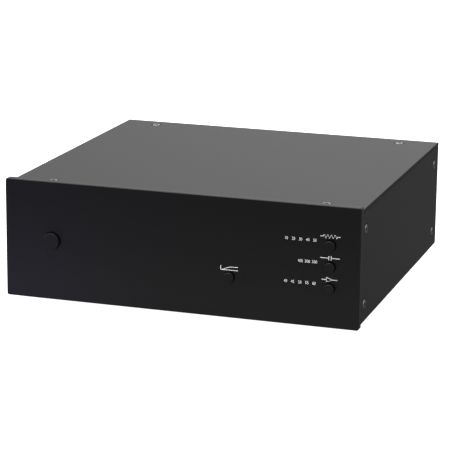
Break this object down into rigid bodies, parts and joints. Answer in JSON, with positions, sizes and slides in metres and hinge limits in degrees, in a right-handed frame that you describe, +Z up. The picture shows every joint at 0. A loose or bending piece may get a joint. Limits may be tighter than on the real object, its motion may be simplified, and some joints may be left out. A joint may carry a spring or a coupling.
{
  "type": "phono preamplifier",
  "caption": "Low black phono preamplifier with a thick front panel, push buttons with rows of small lights, and rear signal sockets.",
  "frame": {"origin": "middle of the footprint, on the surface that the feet stand on", "axes": "+X to the right seen from the front, front panel faces -Y, +Z up"},
  "size_m": [0.206, 0.2022, 0.072],
  "materials": {
    "front_panel_anodised": "bead-blasted and black anodised",
    "cover_anodised": "fine matte black anodised sheet",
    "button_anodised": "turned and black anodised",
    "zinc_steel": "folded zinc-plated sheet",
    "black_steel": "folded sheet, fine black powder coat",
    "screw_black": "black zinc",
    "screw_zinc": "bright zinc",
    "foot_rubber": "moulded",
    "gold_plate": "turned and gold plated",
    "nickel_plate": "turned and nickel plated",
    "ring_white": "moulded",
    "ring_red": "moulded",
    "insulator_white": "moulded",
    "black_plastic": "moulded",
    "smoked_acrylic": "smoked moulded light guide",
    "led_lens": "small surface light",
    "board_green": "glass-fibre circuit board with solder resist",
    "can_sleeve": "shrunk sleeve on an aluminium can",
    "film_red": "moulded box",
    "relay_cream": "moulded cover",
    "sink_black": "extruded and black anodised",
    "ribbon_grey": "flat cable insulation"
  },
  "bodies": {
    "case": {"front_panel": "front_panel_anodised", "front_frame": "zinc_steel", "rear_panel": "black_steel", "top_cover": "cover_anodised", "base_plate": "cover_anodised", "side_plate_left": "cover_anodised", "side_plate_right": "cover_anodised", "foot_screws": "screw_zinc", "top_screws": "screw_black", "side_screws": "screw_black", "base_screws": "screw_black", "front_panel_screws": "screw_zinc", "button_switches": "black_plastic", "control_board": "board_green", "board_spacers": "nickel_plate", "board_screws": "screw_zinc", "indicator_leds": "led_lens", "power_light_guide": "smoked_acrylic", "subsonic_light_guide": "smoked_acrylic", "resistance_light_bar": "smoked_acrylic", "capacitance_light_bar": "smoked_acrylic", "gain_light_bar": "smoked_acrylic", "input_left_socket": "gold_plate", "input_right_socket": "gold_plate", "output_left_socket": "gold_plate", "output_right_socket": "gold_plate", "socket_insulators": "insulator_white", "left_channel_rings": "ring_white", "right_channel_rings": "ring_red", "socket_contacts": "gold_plate", "socket_nuts": "nickel_plate", "ground_post": "gold_plate", "dc_inlet": "black_plastic", "dc_inlet_pin": "nickel_plate", "trigger_jacks": "black_plastic", "main_board": "board_green", "filter_capacitors": "can_sleeve", "film_capacitors": "film_red", "relays": "relay_cream", "amplifier_chips": "black_plastic", "heat_sink": "sink_black", "ribbon_cable": "ribbon_grey", "ribbon_headers": "black_plastic", "foot_front_left": "foot_rubber", "foot_front_right": "foot_rubber", "foot_rear_left": "foot_rubber", "foot_rear_right": "foot_rubber"},
    "power_button": {"power_button": "button_anodised", "power_plunger": "black_plastic"},
    "subsonic_button": {"subsonic_button": "button_anodised", "subsonic_plunger": "black_plastic"},
    "resistance_button": {"resistance_button": "button_anodised", "resistance_plunger": "black_plastic"},
    "capacitance_button": {"capacitance_button": "button_anodised", "capacitance_plunger": "black_plastic"},
    "gain_button": {"gain_button": "button_anodised", "gain_plunger": "black_plastic"},
    "ground_washer": {"ground_washer": "nickel_plate"},
    "ground_nut": {"ground_nut": "gold_plate"}
  },
  "joints": [
    {"name": "power_button_press", "type": "slide", "parent": "case", "child": "power_button", "axis": [0, 1, 0], "range_m": [0, 0.001], "stiffness_N_per_m": 1200},
    {"name": "subsonic_button_press", "type": "slide", "parent": "case", "child": "subsonic_button", "axis": [0, 1, 0], "range_m": [0, 0.001], "stiffness_N_per_m": 1200},
    {"name": "resistance_button_press", "type": "slide", "parent": "case", "child": "resistance_button", "axis": [0, 1, 0], "range_m": [0, 0.001], "stiffness_N_per_m": 1200},
    {"name": "capacitance_button_press", "type": "slide", "parent": "case", "child": "capacitance_button", "axis": [0, 1, 0], "range_m": [0, 0.001], "stiffness_N_per_m": 1200},
    {"name": "gain_button_press", "type": "slide", "parent": "case", "child": "gain_button", "axis": [0, 1, 0], "range_m": [0, 0.001], "stiffness_N_per_m": 1200},
    {"name": "ground_nut_slide", "type": "slide", "parent": "case", "child": "ground_washer", "axis": [0, 1, 0], "range_m": [0, 0.0035]},
    {"name": "ground_nut_turn", "type": "hinge", "parent": "ground_washer", "child": "ground_nut", "pos_m": [0.0563, 0.0921, 0.03887], "axis": [0, 1, 0], "range_deg": [0, 1810]}
  ],
  "couplings": [
    {"joint": "ground_nut_turn", "follows": "ground_nut_slide", "rad_per_m": 8976}
  ]
}
